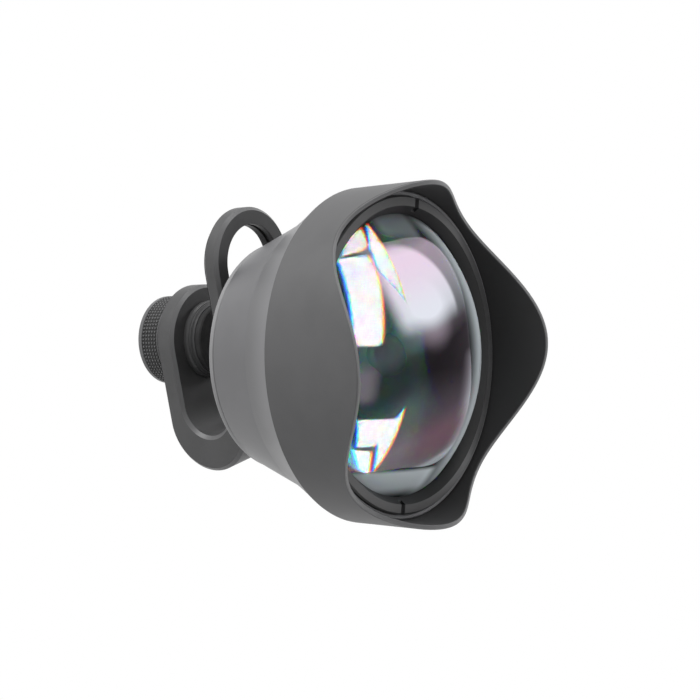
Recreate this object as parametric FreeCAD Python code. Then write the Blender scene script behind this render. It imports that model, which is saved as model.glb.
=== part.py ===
import FreeCAD, Part
import math
import os

from FreeCAD import Vector

# Clip-on telephoto lens for a phone. Millimetres throughout.
# The origin is on the optical axis, in the plane where the phone's back lies.
# The lens looks along -Y, the phone lies on the +Y side, and +Z runs up the clip's legs.

# Clearances
RUN_GAP = 0.05          # radial gap of a shaft turning in its hole
SLIDE_GAP = 0.10        # gap of a piece that slides in its track
SEAT_GAP = 0.05         # gap between a fitted piece and its bore
GLASS_GAP = 0.10        # gap round a lens element in its cell
CEMENT = 0.02           # cement layer between two lens elements

# Clip: one machined aluminium U with its bend at the bottom
CLIP_WIDTH = 27.2
FRONT_LEG = 4.2         # thickness of the leg that carries the lens
BACK_LEG = 5.3          # thickness of the leg that carries the clamp screw
FACE_PAD = 0.6          # rubber on the phone side of the front leg
JAW_DEPTH = 14.2        # from leg to leg
BEND_TOP = -9.5         # height where the inner bend begins, the foot of the slot
FLOOR_EXTRA = 4.0       # how far the outer bend's centre lies below the inner one's
SLOT_TRAVEL = 22.4      # height of the slot's upper centre over the lens axis
SCREW_Z = 4.2           # height of the clamp screw over the lens axis
CLIP_CHAMFER = 0.8
SLOT_CHAMFER = 0.15
PAD_MARGIN = 0.4        # bare metal round the rubber
PAD_SLOT_MARGIN = 0.5

# Slide ring, held in the slot by a snap ring that runs in a groove of the slot's wall
THREAD_R = 8.5          # 17 mm lens thread
SLIDE_WALL = 0.9
TRACK_DEPTH = 0.6
TRACK_WIDTH = 1.1
TRACK_FROM_FRONT = 1.4
SNAP_SECTION = 0.95     # radial width of the snap ring
SNAP_MOUTH = 3.0
SLIDE_RING_SETBACK = 0.3

# Rear mount of the lens
NECK_R = 12.2
NECK_LENGTH = 4.4
STUB_SETBACK = 0.3      # how far the threaded stub stays inside the leg
LIGHT_R = 6.9
REAR_RIM_R = 26.9
REAR_RIM = 1.7
REAR_RIM_ROUND = 0.7
MOUNT_BOSS_STEP = 2.4   # the boss inside the barrel is this much smaller than the rim
MOUNT_BOSS = 3.6
SPANNER_HOLE_R = 0.8
SPANNER_HOLE_PCR = 19.5

# Barrel, turned from bar, and the petal hood on its front
HOOD_R = 38.1
HOOD_WALL = 1.1
HOOD_TAPER = 0.02       # radius gained per millimetre towards the hood's rim
BARREL_STEP = 0.45      # the barrel's rear end stands this much over the rear rim
FLARE_START = 14.1      # from the barrel's rear end to where the flare begins
FLARE_RISE = 5.6        # radius gained from there to the hood
BARREL_CONE = 24.2      # from the barrel's rear end to the hood's rear edge
FLARE_BOW = 0.15        # how far the flare's arc hangs inside its chord
BARREL_FRONT = 9.8      # from the hood's rear edge to the barrel's front lip
BARREL_LIP = 0.5
BARREL_WALL = 2.0
HOOD_VALLEY = 2.1       # hood rim ahead of the barrel's lip, at its lowest
LONG_PETAL = 12.35      # rise of a side petal over the valley
SHORT_PETAL = 7.2       # rise of a top or bottom petal over the valley
LONG_HALF_ANGLE = 49.5
HOOD_TURN = -9.3        # angle of the side petals to the clip
HOOD_EDGE = 0.25

# Front glass, seen whole from the front
LIP_WALL = 1.35         # barrel's wall round the retaining ring
GLASS_STEP = 2.7        # step from the ring's bore to the glass
DOME_RADIUS = 44.0
DOME_EDGE = 3.1         # dome's edge behind the barrel's lip
CROWN_EDGE = 3.8
CEMENT_RADIUS = 120.0
FLINT_EDGE = 8.0
FLINT_RADIUS = 290.0

# Retaining ring and its gasket
RING_BAND = 2.3         # width of the ring's face
RING_LIP = 1.15         # how far the ring reaches over the glass
RING_PROUD = 0.7
RING_BREAK = 0.3
GASKET = 0.8
GASKET_MARGIN = 0.2
SLOT_WIDTH = 1.5
SLOT_DEPTH = 1.2
RING_TURN = -19.3

# Inner cell with light traps, middle and rear elements
CELL_LEDGE = 1.3        # the glass rests on this much of the cell's flange
CELL_FLANGE = 2.0
CELL_FACE = 2.4         # width of the flange's face
CELL_WALL = 1.4
MIDDLE_R = 20.3
MIDDLE_EDGE = 3.0
MIDDLE_FRONT_RADIUS = 60.0
MIDDLE_REAR_RADIUS = 90.0
MIDDLE_BORE = 5.0
TRAP_RINGS = 5
TRAP_LENGTH = 4.0
REAR_R = 12.0
REAR_BORE = 8.5
REAR_A_EDGE = 4.5
REAR_A_FRONT_RADIUS = 60.0
REAR_A_REAR_RADIUS = 45.0
REAR_SPACER = 1.1
REAR_B_EDGE = 1.7
REAR_B_FRONT_RADIUS = 40.0
REAR_B_REAR_RADIUS = 80.0
RETAINER = 1.1
RETAINER_WALL = 1.6
REAR_WALL = 3.0         # cell's wall round the rear elements
CELL_FLOOR = 1.7

# Clamp screw, its swivelling foot and its knob
SCREW_R = 3.0
TIP_R = 2.0
CLIP_NECK_R = 1.6
FOOT_FLANGE_R = 9.6
FOOT_FLANGE = 1.3
FOOT_STEP = 0.5         # from the foot's flange to its body
FOOT_FRONT_STEP = 0.4   # from its body to its front edge
FOOT_CUP = 1.4
FOOT_REST_GAP = 0.1     # between the drawn-back foot and the leg
FOOT_RECESS_R = 4.3
FOOT_RECESS = 1.3
FOOT_CLIP_R = 3.5
FOOT_CLIP = 0.5
PAD_STEP = 0.2          # from the foot's front edge to its rubber
PAD = 1.6
PAD_EDGE = 0.3
KNOB_R = 11.0
KNOB_TRAVEL = 2.1       # from the knob to the leg with the jaw open
KNOB_LENGTH = 7.1
KNOB_FRONT_CHAMFER = 0.5
KNOB_REAR_CHAMFER = 0.8
KNOB_RIM = 3.2          # width of the rim round the dished end
KNOB_DISH = 0.6

# Places along the optical axis, worked out from the sizes above
LEG_BACK_Y = -FACE_PAD
LEG_FRONT_Y = LEG_BACK_Y - FRONT_LEG
JAW_BACK_Y = LEG_BACK_Y + JAW_DEPTH
CLIP_BACK_Y = JAW_BACK_Y + BACK_LEG
RIM_BACK_Y = LEG_FRONT_Y - NECK_LENGTH
BARREL_BACK_Y = RIM_BACK_Y - REAR_RIM
HOOD_BACK_Y = BARREL_BACK_Y - BARREL_CONE
LIP_Y = HOOD_BACK_Y - BARREL_FRONT
VALLEY_Y = LIP_Y - HOOD_VALLEY
DOME_EDGE_Y = LIP_Y + DOME_EDGE
CROWN_BACK_Y = DOME_EDGE_Y + CROWN_EDGE
FLINT_BACK_Y = CROWN_BACK_Y + FLINT_EDGE
CELL_FLANGE_Y = FLINT_BACK_Y + CELL_FLANGE
CELL_END_Y = BARREL_BACK_Y - SEAT_GAP
FOOT_BACK_Y = JAW_BACK_Y - FOOT_REST_GAP
FOOT_FLANGE_Y = FOOT_BACK_Y - FOOT_FLANGE
FOOT_FRONT_Y = FOOT_FLANGE_Y - FOOT_CUP
PAD_FRONT_Y = FOOT_FRONT_Y - PAD
KNOB_FRONT_Y = CLIP_BACK_Y + KNOB_TRAVEL
KNOB_BACK_Y = KNOB_FRONT_Y + KNOB_LENGTH

# Radii and half widths, worked out from the sizes above
HALF_WIDTH = CLIP_WIDTH / 2.0
SLOT_R = THREAD_R + SLIDE_WALL + SLIDE_GAP
MOUNT_BOSS_R = REAR_RIM_R - MOUNT_BOSS_STEP
BARREL_REAR_R = REAR_RIM_R + BARREL_STEP
BARREL_FRONT_R = HOOD_R - HOOD_WALL - SEAT_GAP
RING_OUTER_R = BARREL_FRONT_R - LIP_WALL
RING_INNER_R = RING_OUTER_R - RING_BAND
GLASS_R = RING_OUTER_R - GLASS_STEP
RING_LIP_R = GLASS_R - RING_LIP
CELL_FLANGE_R = GLASS_R - CELL_LEDGE
CELL_MOUTH_R = CELL_FLANGE_R - CELL_FACE
CELL_END_R = REAR_R + REAR_WALL
FOOT_R = FOOT_FLANGE_R - FOOT_STEP
FOOT_FRONT_R = FOOT_R - FOOT_FRONT_STEP
PAD_R = FOOT_FRONT_R - PAD_STEP
KNOB_DISH_R = KNOB_R - KNOB_RIM

Y_AXIS = Vector(0, 1, 0)
ORIGIN = Vector(0, 0, 0)


# Turned profile round the lens axis: a list of (radius, y) corners, closed by itself.
# A corner given as (radius, y, mid_radius, mid_y) is reached along an arc through the mid point.
def turned(*corners):
    edges = []
    last = Vector(corners[-1][0], corners[-1][1], 0)
    for corner in corners:
        here = Vector(corner[0], corner[1], 0)
        if len(corner) == 4:
            middle = Vector(corner[2], corner[3], 0)
            edges.append(Part.Arc(last, middle, here).toShape())
        elif (here - last).Length > 1e-6:
            edges.append(Part.makeLine(last, here))
        last = here
    face = Part.Face(Part.Wire(edges))
    return face.revolve(ORIGIN, Y_AXIS, 360)


# Depth of a spherical face of the given radius at a distance from its axis
def sag(radius, distance):
    return radius - math.sqrt(radius * radius - distance * distance)


# Round-ended plate across Y, between two centres on the clip's middle line
def stadium(radius, low_z, high_z, from_y, to_y):
    depth = to_y - from_y
    low = Part.makeCylinder(radius, depth, Vector(0, from_y, low_z), Y_AXIS)
    high = Part.makeCylinder(radius, depth, Vector(0, from_y, high_z), Y_AXIS)
    middle = Part.makeBox(2 * radius, depth, high_z - low_z, Vector(-radius, from_y, low_z))
    return low.fuse([high, middle]).removeSplitter()


# Block spanning the clip's width, from one y and z to another
def across(from_y, to_y, from_z, to_z, width=CLIP_WIDTH + 4.0):
    return Part.makeBox(width, to_y - from_y, to_z - from_z, Vector(-width / 2.0, from_y, from_z))


# A solid turned about the lens axis, moved to the clamp screw's axis
def on_screw_axis(shape):
    return shape.translated(Vector(0, 0, SCREW_Z))


# Clip frame

def clip_side_profile():
    top_front = SLOT_TRAVEL + HALF_WIDTH
    top_back = SCREW_Z + HALF_WIDTH
    outer_r = (CLIP_BACK_Y - LEG_FRONT_Y) / 2.0
    inner_r = JAW_DEPTH / 2.0
    outer_y = LEG_FRONT_Y + outer_r
    inner_y = LEG_BACK_Y + inner_r
    outer_z = BEND_TOP - FLOOR_EXTRA
    edges = [
        Part.makeLine(Vector(0, LEG_FRONT_Y, top_front), Vector(0, LEG_FRONT_Y, outer_z)),
        Part.Arc(Vector(0, LEG_FRONT_Y, outer_z), Vector(0, outer_y, outer_z - outer_r),
                 Vector(0, CLIP_BACK_Y, outer_z)).toShape(),
        Part.makeLine(Vector(0, CLIP_BACK_Y, outer_z), Vector(0, CLIP_BACK_Y, top_back)),
        Part.makeLine(Vector(0, CLIP_BACK_Y, top_back), Vector(0, JAW_BACK_Y, top_back)),
        Part.makeLine(Vector(0, JAW_BACK_Y, top_back), Vector(0, JAW_BACK_Y, BEND_TOP)),
        Part.Arc(Vector(0, JAW_BACK_Y, BEND_TOP), Vector(0, inner_y, BEND_TOP - inner_r),
                 Vector(0, LEG_BACK_Y, BEND_TOP)).toShape(),
        Part.makeLine(Vector(0, LEG_BACK_Y, BEND_TOP), Vector(0, LEG_BACK_Y, top_front)),
        Part.makeLine(Vector(0, LEG_BACK_Y, top_front), Vector(0, LEG_FRONT_Y, top_front)),
    ]
    return Part.Face(Part.Wire(edges))


# Waste round a leg's half-round top
def top_waste(centre_z, from_y, to_y):
    block = across(from_y, to_y, centre_z, centre_z + CLIP_WIDTH)
    keep = Part.makeCylinder(HALF_WIDTH, to_y - from_y, Vector(0, from_y, centre_z), Y_AXIS)
    return block.cut(keep)


# Edges between the clip's outline and its front and back faces, ends and bend
def outline_edges(shape):
    chosen = []
    for edge in shape.Edges:
        box = edge.BoundBox
        on_side = abs(abs(box.XMin) - HALF_WIDTH) < 1e-4 and abs(box.XMax - box.XMin) < 1e-4
        flat_in_y = box.YMax - box.YMin < 1e-4
        on_round = flat_in_y and box.ZMin > BEND_TOP and abs(box.XMax - box.XMin - CLIP_WIDTH) < 1e-3
        if (on_side and box.DiagonalLength > CLIP_CHAMFER * 8) or on_round:
            chosen.append(edge)
    return chosen


def clip_frame():
    body = clip_side_profile().extrude(Vector(CLIP_WIDTH, 0, 0)).translated(Vector(-HALF_WIDTH, 0, 0))
    middle_y = LEG_BACK_Y + JAW_DEPTH / 2.0
    body = body.cut(top_waste(SLOT_TRAVEL, LEG_FRONT_Y - 1, middle_y))
    body = body.cut(top_waste(SCREW_Z, middle_y, CLIP_BACK_Y + 1))
    body = body.makeChamfer(CLIP_CHAMFER, outline_edges(body))
    body = body.cut(stadium(SLOT_R, 0, SLOT_TRAVEL, LEG_FRONT_Y - 1, LEG_BACK_Y + 1))
    track_y = LEG_FRONT_Y + TRACK_FROM_FRONT
    body = body.cut(stadium(SLOT_R + TRACK_DEPTH, 0, SLOT_TRAVEL, track_y, track_y + TRACK_WIDTH))
    mouth = []
    for edge in body.Edges:
        box = edge.BoundBox
        at_face = abs(box.YMin - LEG_FRONT_Y) < 1e-4 and abs(box.YMax - LEG_FRONT_Y) < 1e-4
        inside = abs(box.XMin) < SLOT_R + 1e-3 and abs(box.XMax) < SLOT_R + 1e-3
        if at_face and inside and box.ZMin > -SLOT_R - 1e-3 and box.ZMax < SLOT_TRAVEL + SLOT_R + 1e-3:
            mouth.append(edge)
    body = body.makeChamfer(SLOT_CHAMFER, mouth)
    hole = Part.makeCylinder(SCREW_R + RUN_GAP, BACK_LEG + 2, Vector(0, JAW_BACK_Y - 1, SCREW_Z), Y_AXIS)
    return body.cut(hole)


# Horseshoe of rubber round the slot, on the flat that the phone's back meets
def phone_face_pad():
    margin = CLIP_CHAMFER + PAD_MARGIN
    pad = stadium(HALF_WIDTH - margin, 0, SLOT_TRAVEL, LEG_BACK_Y, 0)
    pad = pad.cut(stadium(SLOT_R + PAD_SLOT_MARGIN, 0, SLOT_TRAVEL, LEG_BACK_Y - 1, 1))
    return pad.cut(across(LEG_BACK_Y - 1, 1, BEND_TOP - CLIP_WIDTH, BEND_TOP + margin))


# Slide ring and snap ring

def slide_ring():
    front = LEG_FRONT_Y + SLIDE_RING_SETBACK
    back = LEG_BACK_Y - SLIDE_RING_SETBACK
    outer = SLOT_R - SLIDE_GAP
    track = LEG_FRONT_Y + TRACK_FROM_FRONT
    groove_r = snap_outer_r() - SNAP_SECTION - SEAT_GAP
    inner = THREAD_R
    return turned((inner, front), (outer, front), (outer, track), (groove_r, track),
                  (groove_r, track + TRACK_WIDTH), (outer, track + TRACK_WIDTH),
                  (outer, back), (inner, back))


def snap_outer_r():
    return SLOT_R + TRACK_DEPTH - SLIDE_GAP


# Sprung ring with a mouth, so that it can be squeezed into the slot
def slide_snap_ring():
    front = LEG_FRONT_Y + TRACK_FROM_FRONT + SLIDE_GAP / 2
    back = front + TRACK_WIDTH - SLIDE_GAP
    outer = snap_outer_r()
    inner = outer - SNAP_SECTION
    ring = turned((inner, front), (outer, front), (outer, back), (inner, back))
    mouth = Part.makeBox(SNAP_MOUTH, 2 * TRACK_WIDTH, outer + 1,
                         Vector(-SNAP_MOUTH / 2.0, front - TRACK_WIDTH / 2, -outer - 1))
    return ring.cut(mouth)


# Rear mount: rim and plate that close the barrel, neck and threaded stub

def rear_mount():
    stub_r = THREAD_R - RUN_GAP
    stub_back = LEG_BACK_Y - STUB_SETBACK
    boss_y = BARREL_BACK_Y - MOUNT_BOSS
    pocket_r = CELL_END_R + SEAT_GAP
    rim = REAR_RIM_ROUND
    bevel = rim * (1 - math.sqrt(0.5))
    body = turned((LIGHT_R, stub_back), (LIGHT_R, RIM_BACK_Y), (LIGHT_R + CELL_FLOOR, BARREL_BACK_Y),
                  (pocket_r, BARREL_BACK_Y), (pocket_r, boss_y), (MOUNT_BOSS_R - SEAT_GAP, boss_y),
                  (MOUNT_BOSS_R - SEAT_GAP, BARREL_BACK_Y), (REAR_RIM_R - rim / 2, BARREL_BACK_Y),
                  (REAR_RIM_R, BARREL_BACK_Y + rim / 2),
                  (REAR_RIM_R, RIM_BACK_Y - rim),
                  (REAR_RIM_R - rim, RIM_BACK_Y, REAR_RIM_R - bevel, RIM_BACK_Y - bevel),
                  (NECK_R, RIM_BACK_Y), (NECK_R, LEG_FRONT_Y), (stub_r - 0.5, LEG_FRONT_Y),
                  (stub_r - 0.5, LEG_FRONT_Y + SLIDE_RING_SETBACK),
                  (stub_r, LEG_FRONT_Y + 2 * SLIDE_RING_SETBACK), (stub_r, stub_back - 0.4),
                  (stub_r - 0.4, stub_back))
    for side in (-1, 1):
        hole = Part.makeCylinder(SPANNER_HOLE_R, 1.0, Vector(side * SPANNER_HOLE_PCR, RIM_BACK_Y - 1.0, 0),
                                 Y_AXIS)
        body = body.cut(hole)
    return body


# Barrel: a straight cone from the rear rim that flares out to the hood

def flare_start_r():
    return HOOD_R - FLARE_RISE


def flare_middle():
    start = Vector(flare_start_r(), BARREL_BACK_Y - FLARE_START, 0)
    end = Vector(HOOD_R, HOOD_BACK_Y, 0)
    chord = end - start
    inward = Vector(chord.y, -chord.x, 0).normalize()
    return (start + end) * 0.5 + inward * FLARE_BOW


def barrel():
    start_r = flare_start_r()
    middle = flare_middle()
    start_y = BARREL_BACK_Y - FLARE_START
    front_r = BARREL_FRONT_R
    flint_bore = GLASS_R + GLASS_GAP
    flange_bore = CELL_FLANGE_R + SEAT_GAP
    step_y = gasket_seat_y()
    return turned((BARREL_REAR_R - REAR_RIM_ROUND, BARREL_BACK_Y),
                  (BARREL_REAR_R, BARREL_BACK_Y - REAR_RIM_ROUND / 2),
                  (start_r, start_y),
                  (HOOD_R, HOOD_BACK_Y, middle.x, middle.y),
                  (front_r, HOOD_BACK_Y), (front_r, LIP_Y + BARREL_LIP), (front_r - BARREL_LIP, LIP_Y),
                  (RING_OUTER_R + BARREL_LIP / 2, LIP_Y), (RING_OUTER_R, LIP_Y + BARREL_LIP / 2),
                  (RING_OUTER_R, step_y), (flint_bore, step_y), (flint_bore, FLINT_BACK_Y),
                  (flange_bore, FLINT_BACK_Y), (flange_bore, CELL_FLANGE_Y),
                  (start_r - BARREL_WALL, CELL_FLANGE_Y), (start_r - BARREL_WALL, start_y),
                  (MOUNT_BOSS_R + 1.0, BARREL_BACK_Y - MOUNT_BOSS - 1.0),
                  (MOUNT_BOSS_R, BARREL_BACK_Y - MOUNT_BOSS), (MOUNT_BOSS_R, BARREL_BACK_Y))


# Height of the hood's rim over the valley, at an angle from a side petal's middle
def petal_rise(angle):
    from_long = abs((angle + 90.0) % 180.0 - 90.0)
    if from_long <= LONG_HALF_ANGLE:
        return LONG_PETAL * (1 + math.cos(math.pi * from_long / LONG_HALF_ANGLE)) / 2
    short_half = 90.0 - LONG_HALF_ANGLE
    return SHORT_PETAL * (1 + math.cos(math.pi * (90.0 - from_long) / short_half)) / 2


# Petal hood: a thin tube whose front edge rises in two long and two short waves. It grows a little
# towards its rim, but its bore is straight where it sits on the barrel.
def hood():
    inner = HOOD_R - HOOD_WALL
    front = VALLEY_Y - LONG_PETAL - HOOD_WALL
    gain = (HOOD_BACK_Y - front) * HOOD_TAPER
    tube = turned((inner, HOOD_BACK_Y), (HOOD_R, HOOD_BACK_Y), (HOOD_R + gain, front),
                  (inner + gain, front), (inner, LIP_Y))
    rails = []
    for radius in (inner - HOOD_WALL, HOOD_R + gain + HOOD_WALL):
        points = []
        for step in range(72):
            angle = step * 5.0
            turn = math.radians(angle + HOOD_TURN)
            points.append(Vector(radius * math.cos(turn), VALLEY_Y - petal_rise(angle),
                                 radius * math.sin(turn)))
        rail = Part.BSplineCurve()
        rail.interpolate(points, PeriodicFlag=True)
        rails.append(rail.toShape())
    waste = Part.makeRuledSurface(rails[0], rails[1]).extrude(Vector(0, -2 * LONG_PETAL, 0))
    shell = tube.cut(waste)
    rim = [edge for edge in shell.Edges if edge.BoundBox.YMax < LIP_Y and edge.Length > HOOD_R
           and edge.BoundBox.XMax - edge.BoundBox.XMin > inner]
    return shell.makeChamfer(HOOD_EDGE, rim)


# Lens elements and the pieces that hold them

def front_crown():
    apex = DOME_EDGE_Y - sag(DOME_RADIUS, GLASS_R)
    half = GLASS_R / 2
    bulge = CROWN_BACK_Y + sag(CEMENT_RADIUS, GLASS_R)
    return turned((0, apex), (GLASS_R, DOME_EDGE_Y, half, apex + sag(DOME_RADIUS, half)),
                  (GLASS_R, CROWN_BACK_Y), (0, bulge, half, bulge - sag(CEMENT_RADIUS, half)))


def front_flint():
    half = GLASS_R / 2
    hollow = CROWN_BACK_Y + CEMENT + sag(CEMENT_RADIUS, GLASS_R)
    back = FLINT_BACK_Y - sag(FLINT_RADIUS, GLASS_R)
    return turned((GLASS_R, CROWN_BACK_Y + CEMENT), (GLASS_R, FLINT_BACK_Y),
                  (0, back, half, back + sag(FLINT_RADIUS, half)), (0, hollow),
                  (GLASS_R, CROWN_BACK_Y + CEMENT, half, hollow - sag(CEMENT_RADIUS, half)))


# Step in the barrel's bore that the gasket lies on, just behind the dome's edge
def gasket_seat_y():
    return DOME_EDGE_Y + GLASS_GAP


# Threaded ring that holds the front glass, with two slots for a spanner
def front_retaining_ring():
    outer = RING_OUTER_R - SEAT_GAP
    front = LIP_Y - RING_PROUD
    back = gasket_seat_y() - GASKET
    lip_y = DOME_EDGE_Y - sag(DOME_RADIUS, GLASS_R) + sag(DOME_RADIUS, RING_LIP_R) - GLASS_GAP
    corner_y = min(lip_y, back)
    corner_r = GLASS_R - RING_LIP / 2
    ring = turned((RING_INNER_R, front), (outer - RING_BREAK, front), (outer, front + RING_BREAK),
                  (outer, back), (corner_r, back), (RING_LIP_R, corner_y),
                  (RING_LIP_R, corner_y - RING_BREAK))
    reach = RING_BAND + LIP_WALL
    for side in (0, 180):
        slot = Part.makeBox(SLOT_WIDTH, 2 * SLOT_DEPTH, reach,
                            Vector(-SLOT_WIDTH / 2, front - SLOT_DEPTH, RING_OUTER_R - RING_BAND - RING_LIP))
        slot.rotate(ORIGIN, Y_AXIS, side - RING_TURN)
        ring = ring.cut(slot)
    return ring


def front_gasket():
    step = gasket_seat_y()
    inner = GLASS_R + GLASS_GAP + 2 * GASKET_MARGIN
    outer = RING_OUTER_R - GASKET_MARGIN
    return turned((inner, step - GASKET), (outer, step - GASKET), (outer, step), (inner, step))


# Saw-tooth light traps from one bore to a narrower one further back
def traps(front_r, front_y, back_r, back_y):
    corners = []
    for ring in range(TRAP_RINGS):
        share = ring / TRAP_RINGS
        following = (ring + 1) / TRAP_RINGS
        here_y = front_y + (back_y - front_y) * share
        next_y = front_y + (back_y - front_y) * following
        next_r = front_r + (back_r - front_r) * following
        corners.append((front_r + (back_r - front_r) * share, here_y))
        corners.append((front_r + (back_r - front_r) * share, next_y - 0.3))
        corners.append((next_r, next_y))
    return corners


def middle_seat_y():
    return cell_throat_y() + MIDDLE_BORE


def cell_throat_y():
    return FLINT_BACK_Y + TRAP_LENGTH


def rear_bore_y():
    return CELL_END_Y - REAR_BORE


# One turned tube from the wide front flange down to the rear elements
def lens_cell():
    middle_r = MIDDLE_R + GLASS_GAP
    rear_r = REAR_R + GLASS_GAP
    seat_r = MIDDLE_R - 1.8
    rear_seat = rear_r - 1.2
    outer = middle_r + CELL_WALL
    seat = middle_seat_y()
    inside = traps(CELL_MOUTH_R, FLINT_BACK_Y, middle_r, cell_throat_y())
    inside += [(middle_r, seat), (seat_r, seat), (seat_r, seat + 0.5), (rear_seat, rear_bore_y() - 0.4),
               (rear_seat, rear_bore_y()), (rear_r, rear_bore_y()), (rear_r, CELL_END_Y)]
    outside = [(CELL_END_R, CELL_END_Y), (CELL_END_R, rear_bore_y() + 1.5), (outer, seat + 1.5),
               (outer, cell_throat_y()), (CELL_MOUTH_R + CELL_WALL / 2, CELL_FLANGE_Y),
               (CELL_FLANGE_R, CELL_FLANGE_Y), (CELL_FLANGE_R, FLINT_BACK_Y + SEAT_GAP),
               (CELL_MOUTH_R, FLINT_BACK_Y + SEAT_GAP)]
    return turned(*(inside[1:] + outside))


def lens(radius, front_y, edge, front_sag, front_radius, back_sag, back_radius):
    half = radius / 2
    back_y = front_y + edge
    front_mid = front_y + front_sag - math.copysign(sag(front_radius, half), front_sag)
    back_mid = back_y + back_sag - math.copysign(sag(back_radius, half), back_sag)
    return turned((0, front_y + front_sag), (radius, front_y, half, front_mid), (radius, back_y),
                  (0, back_y + back_sag, half, back_mid))


# Positive meniscus: front face bulges forward, rear face is hollow
def middle_lens():
    front = middle_seat_y() - MIDDLE_EDGE
    return lens(MIDDLE_R, front, MIDDLE_EDGE, -sag(MIDDLE_FRONT_RADIUS, MIDDLE_R), MIDDLE_FRONT_RADIUS,
                -sag(MIDDLE_REAR_RADIUS, MIDDLE_R), MIDDLE_REAR_RADIUS)


# Plain ring; its rear inner corner clears a domed face of the given radius behind it
def ring_between(outer, wall, front, back, dome_radius=0):
    inner = outer - wall
    bevel = sag(dome_radius, outer) - sag(dome_radius, inner) + 0.06 if dome_radius else 0
    return turned((inner, front), (outer, front), (outer, back), (inner, back - bevel))


def middle_retainer():
    back = middle_seat_y() - MIDDLE_EDGE
    return ring_between(MIDDLE_R + GLASS_GAP - SEAT_GAP, RETAINER_WALL, back - RETAINER, back,
                        MIDDLE_FRONT_RADIUS)


# Negative rear element, hollow on both faces
def rear_lens_a():
    return lens(REAR_R, rear_bore_y(), REAR_A_EDGE, sag(REAR_A_FRONT_RADIUS, REAR_R), REAR_A_FRONT_RADIUS,
                -sag(REAR_A_REAR_RADIUS, REAR_R), REAR_A_REAR_RADIUS)


def rear_spacer():
    front = rear_bore_y() + REAR_A_EDGE
    return ring_between(REAR_R, RETAINER_WALL, front, front + REAR_SPACER, REAR_B_FRONT_RADIUS)


def rear_lens_b():
    front = rear_bore_y() + REAR_A_EDGE + REAR_SPACER
    return lens(REAR_R, front, REAR_B_EDGE, -sag(REAR_B_FRONT_RADIUS, REAR_R), REAR_B_FRONT_RADIUS,
                -sag(REAR_B_REAR_RADIUS, REAR_R), REAR_B_REAR_RADIUS)


def rear_retainer():
    front = rear_bore_y() + REAR_A_EDGE + REAR_SPACER + REAR_B_EDGE
    return ring_between(REAR_R + GLASS_GAP - SEAT_GAP, RETAINER_WALL, front, CELL_END_Y)


# Clamp: foot, rubber pad, clip, screw and knob

def foot():
    hole = TIP_R + RUN_GAP
    round_off = 0.4
    recess_y = FOOT_FRONT_Y + FOOT_RECESS
    return on_screw_axis(turned(
        (hole, FOOT_BACK_Y), (FOOT_FLANGE_R, FOOT_BACK_Y), (FOOT_FLANGE_R, FOOT_FLANGE_Y + round_off),
        (FOOT_FLANGE_R - round_off, FOOT_FLANGE_Y), (FOOT_R, FOOT_FLANGE_Y), (FOOT_R, FOOT_FRONT_Y + 0.9),
        (FOOT_FRONT_R, FOOT_FRONT_Y + 0.6), (FOOT_FRONT_R, FOOT_FRONT_Y), (FOOT_RECESS_R, FOOT_FRONT_Y),
        (FOOT_RECESS_R, recess_y), (hole, recess_y)))


def clamp_pad():
    return on_screw_axis(turned(
        (0, FOOT_FRONT_Y), (PAD_R, FOOT_FRONT_Y), (PAD_R, PAD_FRONT_Y + PAD_EDGE),
        (PAD_R - PAD_EDGE, PAD_FRONT_Y), (0, PAD_FRONT_Y)))


# Open clip in the groove of the screw's tip, in the foot's recess
def foot_clip():
    back = FOOT_FRONT_Y + FOOT_RECESS - SLIDE_GAP
    ring = turned((CLIP_NECK_R + RUN_GAP, back - FOOT_CLIP), (FOOT_CLIP_R, back - FOOT_CLIP),
                  (FOOT_CLIP_R, back), (CLIP_NECK_R + RUN_GAP, back))
    mouth = Part.makeBox(2 * TIP_R, FOOT_CLIP + 1, FOOT_CLIP_R + 1,
                         Vector(-TIP_R, back - FOOT_CLIP - 0.5, -FOOT_CLIP_R - 1))
    return on_screw_axis(ring.cut(mouth))


def clamp_screw():
    shoulder = FOOT_BACK_Y + RUN_GAP
    groove_back = FOOT_FRONT_Y + FOOT_RECESS
    groove_front = groove_back - FOOT_CLIP - 2 * SLIDE_GAP
    tip = FOOT_FRONT_Y + 0.2
    return on_screw_axis(turned(
        (0, tip), (TIP_R - 0.2, tip), (TIP_R, tip + 0.2), (TIP_R, groove_front),
        (CLIP_NECK_R, groove_front), (CLIP_NECK_R, groove_back), (TIP_R, groove_back), (TIP_R, shoulder),
        (SCREW_R, shoulder), (SCREW_R, KNOB_BACK_Y - KNOB_DISH + 0.3),
        (SCREW_R - 0.4, KNOB_BACK_Y - KNOB_DISH + 0.7), (0, KNOB_BACK_Y - KNOB_DISH + 0.7)))


def knob():
    bore = SCREW_R
    dish_y = KNOB_BACK_Y - KNOB_DISH
    front = KNOB_FRONT_Y
    return on_screw_axis(turned(
        (bore, front), (KNOB_R - KNOB_FRONT_CHAMFER, front), (KNOB_R, front + KNOB_FRONT_CHAMFER),
        (KNOB_R, KNOB_BACK_Y - KNOB_REAR_CHAMFER), (KNOB_R - KNOB_REAR_CHAMFER, KNOB_BACK_Y),
        (KNOB_DISH_R, KNOB_BACK_Y), (KNOB_DISH_R - KNOB_DISH, dish_y), (bore, dish_y)))


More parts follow.
